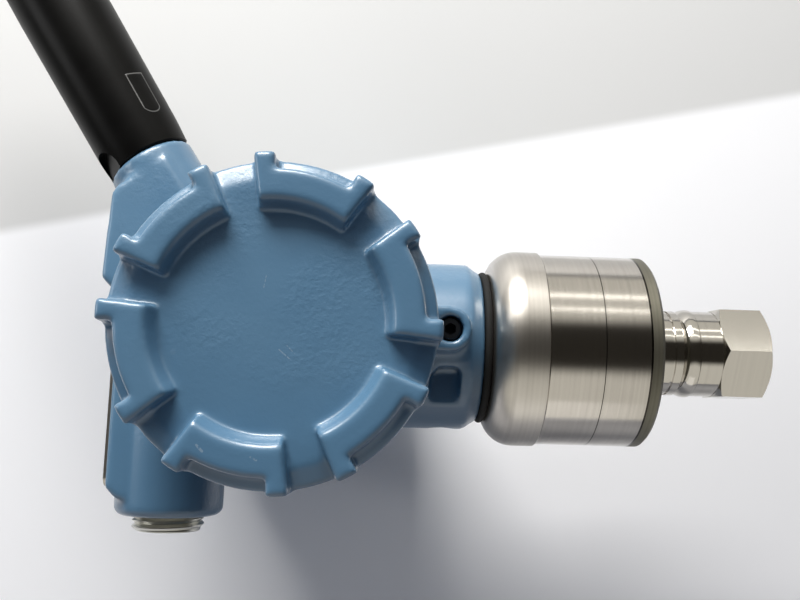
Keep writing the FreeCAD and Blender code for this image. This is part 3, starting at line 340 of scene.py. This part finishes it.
def makeSteel(name, look):
    # lines run round the axis that the turn brings to Z
    material, tree, shader = newMaterial(name, {"Metallic": 1.0, "Roughness": look["roughness"]})
    place = objectPlace(tree, look["turn"])
    lines = useGroup(tree, fineLines, Vector=place, Fine=look["lines"], Broad=look["bands"])
    clouds = noise(tree, place, look["stainScale"], 4.0, Roughness=0.6)
    bands = maths(tree, "MULTIPLY", lines["Tone"], look["bandShare"])
    tone = maths(tree, "MULTIPLY_ADD", clouds, look["stains"], bands)
    colour = mixColour(tree, ramp(tree, tone, *look["shadeRange"]), look["colour"], look["shade"])
    height = addNode(tree, "SeparateXYZ", Vector=place).outputs["Z"]
    for ring, half in look["etched"]:
        off = maths(tree, "ABSOLUTE", maths(tree, "SUBTRACT", height, ring * mm))
        colour = mixColour(tree, maths(tree, "LESS_THAN", off, half * mm), colour, look["etch"])
    gloss = maths(tree, "MULTIPLY_ADD", tone, look["glossRange"],
                  look["roughness"] - look["glossDrop"])
    if look["satinAbove"]:
        start = look["satinAbove"] * mm
        satin = ramp(tree, height, start, start + look["satinEdge"] * mm)
        gloss = maths(tree, "ADD", gloss, maths(tree, "MULTIPLY", satin, look["satin"]))
    dressShader(tree, shader, colour, gloss, lines["Height"], look["bump"], look["depth"])
    return material


plasticSurface = {"specular": 0.32, "clouds": 38.0, "cloudRange": (0.35, 0.75),
                  "glossRange": 0.2, "glossDrop": 0.1, "bump": 0.3}
plastics = {
    "radomePlastic": {"colour": (0.0025, 0.0024, 0.0023, 1), "pale": (0.0045, 0.0043, 0.004, 1),
                      "roughness": 0.36, "grain": 1400.0, "depth": 0.00003, "specular": 0.10},
    "labelEdge": {"colour": (0.10, 0.10, 0.095, 1), "pale": (0.16, 0.16, 0.15, 1),
                  "roughness": 0.4, "grain": 900.0, "depth": 0.00002},
    "sealRubber": {"colour": (0.003, 0.003, 0.003, 1), "pale": (0.007, 0.007, 0.007, 1),
                   "roughness": 0.75, "grain": 900.0, "depth": 0.00008},
    "mouldedBlack": {"colour": (0.016, 0.016, 0.017, 1), "pale": (0.035, 0.035, 0.036, 1),
                     "roughness": 0.5, "grain": 1100.0, "depth": 0.00008},
    "boardGreen": {"colour": (0.020, 0.085, 0.040, 1), "pale": (0.035, 0.13, 0.06, 1),
                   "roughness": 0.35, "grain": 300.0, "depth": 0.00003},
    "batteryCase": {"colour": (0.018, 0.035, 0.028, 1), "pale": (0.03, 0.055, 0.045, 1),
                    "roughness": 0.45, "grain": 1000.0, "depth": 0.00008},
}


def makePlastic(name, own):
    look = dict(plasticSurface, **own)
    material, tree, shader = newMaterial(name, {
        "Roughness": look["roughness"], "Specular IOR Level": look["specular"]})
    place = objectPlace(tree)
    grain = noise(tree, place, look["grain"], 3.0)
    clouds = noise(tree, place, look["clouds"], 4.0)
    colour = mixColour(tree, ramp(tree, clouds, *look["cloudRange"]), look["colour"], look["pale"])
    gloss = maths(tree, "MULTIPLY_ADD", clouds, look["glossRange"],
                  look["roughness"] - look["glossDrop"])
    dressShader(tree, shader, colour, gloss, grain, look["bump"], look["depth"])
    return material


finishes = {"bluePaint": makeBluePaint()}
for name, look in steels.items():
    finishes[name] = makeSteel(name, look)
for name, look in plastics.items():
    finishes[name] = makePlastic(name, look)

nodeFinish = {
    "bluePaint": ["housing", "front_cover", "rear_cover"],
    "canSteel": ["module_can", "module_header", "sensor_cell"],
    "rimSteel": ["module_base_plate"],
    "fittingSteel": ["process_fitting", "isolating_diaphragm", "capillary_tube"],
    "plateSteel": ["top_plate", "top_plate_pins"],
    "plugZinc": ["conduit_plug"],
    "darkSteel": ["front_cover_lock_screw", "rear_cover_lock_screw", "housing_set_screw"],
    "screwSteel": ["ground_screw", "ground_washer", "carrier_screws", "terminal_block_screws"],
    "sealRubber": ["neck_seal", "antenna_seal", "front_cover_seal", "rear_cover_seal"],
    "radomePlastic": ["antenna_radome"],
    "mouldedBlack": ["electronics_carrier", "terminal_block", "header_connector",
                     "sensor_lead_plug", "sensor_lead", "module_ribbon"],
    "boardGreen": ["main_board", "module_board", "antenna_element"],
    "boardTin": ["board_components"],
    "brass": ["comm_terminals", "board_spacers"],
    "batteryCase": ["battery_module"],
}
for finish, names in nodeFinish.items():
    for name in names:
        for materialSlot in nodes[name].material_slots:
            materialSlot.material = finishes[finish]
print("materials ready:", len(finishes))


# pieces

zToX = Matrix.Rotation(math.pi / 2, 3, "Y")  # turns a shape that stands on Z to lie along X


def linkObject(name, data):
    thing = bpy.data.objects.new(name, data)
    bpy.context.scene.collection.objects.link(thing)
    return thing


def meshFrom(shape, name):
    mesh = bpy.data.meshes.new(name)
    shape.to_mesh(mesh)
    shape.free()
    return mesh


def turnShape(shape, matrix):
    bmesh.ops.rotate(shape, cent=(0, 0, 0), matrix=matrix, verts=shape.verts)


def moveShape(shape, step):
    bmesh.ops.translate(shape, vec=step, verts=shape.verts)


def mergeShape(shape, distance):
    bmesh.ops.remove_doubles(shape, verts=shape.verts, dist=distance * mm)


def spinOutline(shape, outline, **settings):
    # joins the outline's points by edges and spins them about an axis through the origin
    points = [shape.verts.new(point) for point in outline]
    edges = [shape.edges.new(pair) for pair in zip(points, points[1:])]
    bmesh.ops.spin(shape, geom=points + edges, cent=(0, 0, 0), **settings)


def barAlongX(segments, radius, length, centre):
    shape = bmesh.new()
    bmesh.ops.create_cone(shape, cap_ends=True, segments=segments, radius1=radius,
                          radius2=radius, depth=length)
    turnShape(shape, zToX)
    moveShape(shape, centre)
    return shape


def cutAway(rough, shape, name):
    cutter = linkObject(name, meshFrom(shape, name))
    cut = rough.modifiers.new(name, "BOOLEAN")
    cut.operation = "DIFFERENCE"
    cut.object = cutter
    cut.solver = "EXACT"
    return cutter


def bakeMesh(rough, name, helpers=()):
    # the rough object's mesh with its modifiers applied; it and its helpers are removed
    ready = rough.evaluated_get(bpy.context.evaluated_depsgraph_get())
    mesh = bpy.data.meshes.new_from_object(ready)
    for part in (rough, *helpers):
        bpy.data.objects.remove(part)
    mesh.name = name
    return mesh


def finishPiece(mesh, name, body, finish, hides=(), crease=0):
    piece = linkObject(name, mesh)
    mesh.materials.clear()
    mesh.materials.append(finishes[finish])
    mesh.shade_smooth()
    if crease:
        mesh.set_sharp_from_angle(angle=math.radians(crease))
    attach(piece, body)
    if hides:
        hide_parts(*hides)


castSkin = {
    # lengths in millimetres; the face settings flatten the middle of a cover
    "front_cover": {"grid": 0.56, "rounds": 14, "pull": 0.5,
                    "faceRadius": 26, "faceDrop": 5.4, "facePlay": 0.7},
    "rear_cover": {"grid": 0.62, "rounds": 11, "pull": 0.5},
    "housing": {"grid": 0.92, "rounds": 4, "pull": 0.5},
}


def castFrom(node, name, body):
    # a copy of the node's metal with every edge and root rounded, as it comes from its mould
    settings = castSkin[node]
    mesh = nodes[node].data.copy()
    shape = bmesh.new()
    shape.from_mesh(mesh)
    mergeShape(shape, 0.002)
    if "faceRadius" in settings:
        # the middle of the face is one plain disc
        face = corners(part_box(node))[0].y + settings["faceDrop"] * mm
        for vert in shape.verts:
            away = math.hypot(vert.co.x, vert.co.z - barrelHeight)
            near = abs(vert.co.y - face) < settings["facePlay"] * mm
            if away < settings["faceRadius"] * mm and near:
                vert.co.y = face
    shape.to_mesh(mesh)
    shape.free()
    rough = linkObject(name + "Rough", mesh)
    grid = rough.modifiers.new("grid", "REMESH")
    grid.mode = "VOXEL"
    grid.voxel_size = settings["grid"] * mm
    soften = rough.modifiers.new("soften", "SMOOTH")
    soften.factor = settings["pull"]
    soften.iterations = settings["rounds"]
    rounded = bakeMesh(rough, name)
    print(name, len(rounded.polygons), "faces")
    finishPiece(rounded, name, body, "bluePaint", hides=[node])


castFrom("front_cover", "frontCoverCast", "front_cover")
castFrom("rear_cover", "rearCoverCast", "rear_cover")
castFrom("housing", "housingCast", "housing")
print("castings ready")


threadedPlug = {
    "pitch": 1.814, "depth": 1.0, "crestWidth": 0.30, "crestDrop": 0.02,
    "steps": 72, "turns": 9, "coreSteps": 96,
    "edge": 0.2,     # from the end face to where the thread starts
    "chamfer": 0.3,
    "key": 10.0, "keyDepth": 7.0, "flatsToCorner": 1.732,
}


def makePlug():
    # helical thread on a round core; the outer end looks to -X
    look = threadedPlug
    low, high = corners(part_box("conduit_plug"))
    outer = (high.z - low.z) / 2
    centre = Vector((0, 0, (low.z + high.z) / 2))
    pitch, crest = look["pitch"] * mm, look["crestWidth"] * mm
    root, top = outer - look["depth"] * mm, outer - look["crestDrop"] * mm
    start = low.x + look["edge"] * mm
    thread = [(start, 0, root), (start + (pitch - crest) / 2, 0, top),
              (start + (pitch + crest) / 2, 0, top), (start + pitch, 0, root)]
    shape = bmesh.new()
    spinOutline(shape, thread, axis=(1, 0, 0), dvec=(pitch / look["steps"], 0, 0),
                angle=2 * math.pi * look["turns"], steps=look["steps"] * look["turns"])
    mergeShape(shape, 0.01)
    # the core that closes the end face, with its broken edge
    chamfer = look["chamfer"] * mm
    core = [(low.x, 0, 0), (low.x, 0, root - chamfer), (low.x + chamfer, 0, root),
            (high.x, 0, root), (high.x, 0, 0)]
    spinOutline(shape, core, axis=(1, 0, 0), angle=2 * math.pi, steps=look["coreSteps"],
                use_merge=True)
    mergeShape(shape, 0.004)
    bmesh.ops.recalc_face_normals(shape, faces=shape.faces)
    moveShape(shape, centre)
    rough = linkObject("plugRough", meshFrom(shape, "plugRough"))
    socket = barAlongX(6, look["key"] / look["flatsToCorner"] * mm, look["keyDepth"] * 2 * mm,
                       (low.x, 0, centre.z))
    cutter = cutAway(rough, socket, "keySocket")
    plug = bakeMesh(rough, "conduitPlugThreaded", [cutter])
    finishPiece(plug, "conduitPlugThreaded", "housing", "plugZinc",
                hides=["conduit_plug"], crease=35)


makePlug()


groundScrew = {"radius": 4.2, "height": 1.1, "taper": 0.9, "bevel": 0.25, "segments": 48,
               "lean": 40, "rise": 0.4}


def makeGroundScrew():
    # flat round head that lies low on its washer
    look = groundScrew
    low, high = corners(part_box("ground_washer"))
    lean = math.radians(look["lean"])
    away = Vector((-math.cos(lean), 0, -math.sin(lean)))
    shape = bmesh.new()
    bmesh.ops.create_cone(shape, cap_ends=True, segments=look["segments"],
                          radius1=look["radius"] * mm, radius2=look["radius"] * look["taper"] * mm,
                          depth=look["height"] * mm)
    rims = [edge for edge in shape.edges
            if abs(edge.verts[0].co.z - edge.verts[1].co.z) < 0.001 * mm]
    bmesh.ops.bevel(shape, geom=rims, offset=look["bevel"] * mm, segments=2, affect="EDGES",
                    profile=0.5, material=-1)
    turnShape(shape, Vector((0, 0, 1)).rotation_difference(away).to_matrix())
    moveShape(shape, (low + high) / 2 + away * (look["rise"] + look["height"] / 2) * mm)
    finishPiece(meshFrom(shape, "groundScrewLow"), "groundScrewLow", "housing", "screwSteel",
                hides=["ground_screw"], crease=30)


makeGroundScrew()
print("screws ready")


antennaShape = {
    # outline: height along the tube and radius there, up to where the domed tip starts
    "lean": 33.2, "seat": (55.65, 0, 194.0), "bend": 0.021,
    "outline": [(0.0, 11.0), (0.0, 13.1), (0.4, 13.5), (2.5, 13.6), (8.0, 13.9), (60.0, 14.5),
                (100.0, 14.3), (128.0, 13.6), (135.8, 13.4)],
    "bodyFrom": 3,  # the outline's first point above the lower rim
    "tip": 12, "segments": 96,
    # two round hollows at the root: how far their floors lie from the axis, their radius,
    # the cutter's length, their height and the side they are on
    "flat": 11.6, "flatRadius": 6.6, "flatLength": 8, "flatHeight": 1.5, "flatTurn": 25,
    "flatSegments": 48,
}
labelShape = {"low": 9.5, "high": 24.8, "turn": (30, 58), "edge": 0.28, "radius": 14,
              "columns": 16, "rows": 24, "sink": 0.15}


def antennaRadius(height):
    points = antennaShape["outline"][antennaShape["bodyFrom"]:]
    for (low, first), (high, second) in zip(points, points[1:]):
        if height <= high:
            return first + (second - first) * (height - low) / (high - low)
    return points[-1][1]


def placeOnSeat(shape):
    # local Z is the antenna's axis, local X its upper side
    lean = math.radians(antennaShape["lean"])
    axis = Vector((math.cos(lean), 0, math.sin(lean)))
    side = Vector((-math.sin(lean), 0, math.cos(lean)))
    seat = Vector(antennaShape["seat"]) * mm
    front = Vector((0, -1, 0))
    for vert in shape.verts:
        local = vert.co.copy()
        across = local.x - antennaShape["bend"] * max(local.z, 0)
        vert.co = seat + axis * local.z + side * across + front * local.y


def makeAntenna():
    look = antennaShape
    outline = list(look["outline"])
    height, radius = outline[-1]
    for step in range(1, look["tip"] + 1):
        angle = math.pi / 2 * step / look["tip"]
        outline.append((height + radius * math.sin(angle), radius * math.cos(angle)))
    shape = bmesh.new()
    spinOutline(shape, [(max(wide, 0) * mm, 0, high * mm) for high, wide in outline],
                axis=(0, 0, 1), angle=2 * math.pi, steps=look["segments"], use_merge=True)
    mergeShape(shape, 0.001)
    bmesh.ops.holes_fill(shape, edges=[edge for edge in shape.edges if edge.is_boundary])
    bmesh.ops.recalc_face_normals(shape, faces=shape.faces)
    rough = linkObject("antennaRough", meshFrom(shape, "antennaRough"))
    cutters = []
    for turn in (look["flatTurn"], 180 + look["flatTurn"]):
        middle = (look["flat"] + look["flatLength"] / 2) * mm
        block = barAlongX(look["flatSegments"], look["flatRadius"] * mm, look["flatLength"] * mm,
                          (middle, 0, look["flatHeight"] * mm))
        turnShape(block, Matrix.Rotation(math.radians(turn), 3, "Z"))
        cutters.append(cutAway(rough, block, "flatCutter"))
    tube = bakeMesh(rough, "antennaTube", cutters)
    shape = bmesh.new()
    shape.from_mesh(tube)
    placeOnSeat(shape)
    bmesh.ops.recalc_face_normals(shape, faces=shape.faces)
    shape.to_mesh(tube)
    shape.free()
    finishPiece(tube, "antennaTube", "housing", "radomePlastic",
                hides=["antenna_radome"], crease=28)


def makeLabel(name, grow, rise, finish):
    # bare plate that follows the tube; its lower end is round and its border is sunk
    look = labelShape
    low, high = look["low"] - grow, look["high"] + grow
    turns = [math.radians(90 + turn) for turn in look["turn"]]
    middle, half = sum(turns) / 2, (turns[1] - turns[0]) / 2 + grow / look["radius"]
    roundEnd = half * look["radius"]
    shape = bmesh.new()
    bmesh.ops.create_grid(shape, x_segments=look["columns"], y_segments=look["rows"], size=1)
    for vert in shape.verts:
        share, along = vert.co.x, (vert.co.y + 1) / 2
        base = low + roundEnd * (1 - math.sqrt(max(1 - share * share, 0)))
        height = base + (high - base) * along
        radius = (antennaRadius(height) + (-look["sink"] if vert.is_boundary else rise)) * mm
        angle = middle + half * share
        vert.co = (radius * math.cos(angle), radius * math.sin(angle), height * mm)
    # the grid's faces already look outwards; a recalculation may turn an open sheet round
    placeOnSeat(shape)
    finishPiece(meshFrom(shape, name), name, "housing", finish)


makeAntenna()
makeLabel("antennaLabelEdge", 0.0, 0.07, "labelEdge")
makeLabel("antennaLabel", -labelShape["edge"], 0.12, "radomePlastic")
print("antenna ready")


# backdrop, world, lamps and camera

studio = {
    "paper": (0.96, 0.96, 0.97, 1), "roughness": 0.9, "specular": 0.1,
    "cloud": (0.7, 0.7, 0.72, 1), "cloudScale": 3.0, "cloudShare": 0.06,
    "wall": (0.66, 0.66, 0.65, 1),
    "gap": 0.018, "middle": 0.1, "size": 4.0,
    # the table's far edge crosses the view: a point on it and its direction, in X and Z
    "edge": (0.047, 0.277), "edgeRun": (0.0742, -0.340), "edgeBlur": 0.006,
}


def makeBackdropPaper():
    # pale table below the edge line, greyer wall beyond it; clear when seen from behind
    material, tree, shader = newMaterial("backdropPaper", {
        "Roughness": studio["roughness"], "Specular IOR Level": studio["specular"]})
    place = objectPlace(tree)
    clouds = noise(tree, place, studio["cloudScale"], 2.0)
    tone = mixColour(tree, maths(tree, "MULTIPLY", clouds, studio["cloudShare"]),
                     studio["paper"], studio["cloud"])
    (startX, startZ), (runX, runZ) = studio["edge"], studio["edgeRun"]
    length = math.hypot(runX, runZ)
    split = addNode(tree, "SeparateXYZ", Vector=place)
    beyond = maths(tree, "ADD", maths(tree, "MULTIPLY", split.outputs["X"], -runZ / length),
                   maths(tree, "MULTIPLY", split.outputs["Z"], runX / length))
    start = (-runZ * startX + runX * startZ) / length
    tone = mixColour(tree, ramp(tree, beyond, start, start + studio["edgeBlur"]), tone,
                     studio["wall"])
    tree.links.new(tone, shader.inputs["Base Color"])
    back = addNode(tree, "NewGeometry").outputs["Backfacing"]
    clear = addNode(tree, "BsdfTransparent")
    blend = addNode(tree, "MixShader", Fac=back)
    tree.links.new(shader.outputs[0], blend.inputs[1])
    tree.links.new(clear.outputs[0], blend.inputs[2])
    tree.links.new(blend.outputs[0], tree.nodes["Material Output"].inputs["Surface"])
    return material


def makeBackdrop():
    # one flat sheet behind the rear cover that faces -Y
    shape = bmesh.new()
    bmesh.ops.create_grid(shape, x_segments=1, y_segments=1, size=0.5)
    bmesh.ops.scale(shape, vec=(studio["size"], studio["size"], 1), verts=shape.verts)
    turnShape(shape, Matrix.Rotation(math.pi / 2, 3, "X"))
    moveShape(shape, (0, rearHigh.y + studio["gap"], studio["middle"]))
    mesh = meshFrom(shape, "backdrop")
    mesh.materials.append(makeBackdropPaper())
    sheet = linkObject("backdrop", mesh)


softRoom = {
    # lights the surfaces, from the -X side to the +X side
    "shade": (0.055, 0.060, 0.085, 1), "sky": (0.32, 0.33, 0.35, 1), "skyRange": (-0.5, 0.8),
    # what reflections find
    "dark": (0.030, 0.027, 0.022, 1),
    "walls": (0.80, 0.78, 0.71, 1), "wallRange": (0.36, 0.60),
    "back": (0.9, 0.9, 0.88, 1), "backRange": (0.0, 0.5),
    "seen": (0.82, 0.82, 0.82, 1),
}


def makeWorld():
    # soft light that grows towards +X; reflections find a dark room between pale side walls
    look = softRoom
    world = bpy.data.worlds.new("softRoom")
    bpy.context.scene.world = world
    world.use_nodes = True
    tree = world.node_tree
    split = addNode(tree, "SeparateXYZ", Vector=addNode(tree, "TexCoord").outputs["Generated"])
    across, back = split.outputs["X"], split.outputs["Y"]
    soft = mixColour(tree, ramp(tree, across, *look["skyRange"]), look["shade"], look["sky"])
    side = maths(tree, "ABSOLUTE", across)
    room = mixColour(tree, ramp(tree, side, *look["wallRange"]), look["dark"], look["walls"])
    room = mixColour(tree, ramp(tree, back, *look["backRange"]), room, look["back"])
    path = addNode(tree, "LightPath")
    light = mixColour(tree, path.outputs["Is Glossy Ray"], soft, room)
    seen = mixColour(tree, path.outputs["Is Camera Ray"], light, look["seen"])
    tree.links.new(seen, tree.nodes["Background"].inputs["Color"])


lamps = {
    "windowAbove": {"place": (0.72, -0.40, 0.36), "size": (0.3, 0.5), "power": 11.5,
                    "colour": (1, 0.985, 0.96)},
    "farSide": {"place": (0.3, 0.9, 0.75), "size": (0.8, 0.5), "power": 3.5,
                "colour": (1, 1, 1)},
    "highEnd": {"place": (0.15, -0.35, 1.0), "size": (0.3, 0.3), "power": 1.3,
                "colour": (1, 1, 1)},
    # two narrow tubes that draw bright lines along the steel
    "tubeHigh": {"place": (0.62, -0.34, -0.1), "size": (0.05, 0.9), "power": 0.36,
                 "colour": (1, 0.98, 0.93)},
    "tubeLow": {"place": (0.47, -0.50, -0.1), "size": (0.03, 0.9), "power": 0.24,
                "colour": (1, 0.98, 0.93)},
    "lowSide": {"place": (-0.85, -0.1, 0.1), "size": (0.5, 0.6), "power": 0.3,
                "colour": (0.98, 0.97, 1)},
}
aimHeight = 0.12  # the lamps look at the axis here, or level with themselves when lower


def makeLamps():
    for name, look in lamps.items():
        light = bpy.data.lights.new(name, "AREA")
        light.shape = "RECTANGLE"
        light.size, light.size_y = look["size"]
        light.energy = look["power"]
        light.color = look["colour"]
        lamp = linkObject(name, light)
        lamp.location = look["place"]
        aim = Vector((0, 0, min(aimHeight, look["place"][2])))
        lamp.rotation_euler = (aim - lamp.location).to_track_quat("-Z", "Y").to_euler()


cameraView = {
    "lens": 39.49, "sensor": 36, "clip": 0.01,
    "place": (-0.02476, -0.27468, 0.12264),
    "aim": (0.1404, 0.9895, -0.0342),  # direction of sight
    "roll": -88.12,
}


def makeCamera():
    data = bpy.data.cameras.new("mainCamera")
    data.lens = cameraView["lens"]
    data.sensor_width = cameraView["sensor"]
    data.clip_start = cameraView["clip"]
    camera = linkObject("mainCamera", data)
    level = Vector(cameraView["aim"]).to_track_quat("-Z", "Y").to_matrix()
    turned = level @ Matrix.Rotation(math.radians(cameraView["roll"]), 3, "Z")
    camera.matrix_world = Matrix.Translation(cameraView["place"]) @ turned.to_4x4()
    bpy.context.scene.camera = camera


makeBackdrop()
makeWorld()
makeLamps()
makeCamera()
bpy.context.scene.view_settings.view_transform = "Standard"
print("studio ready")
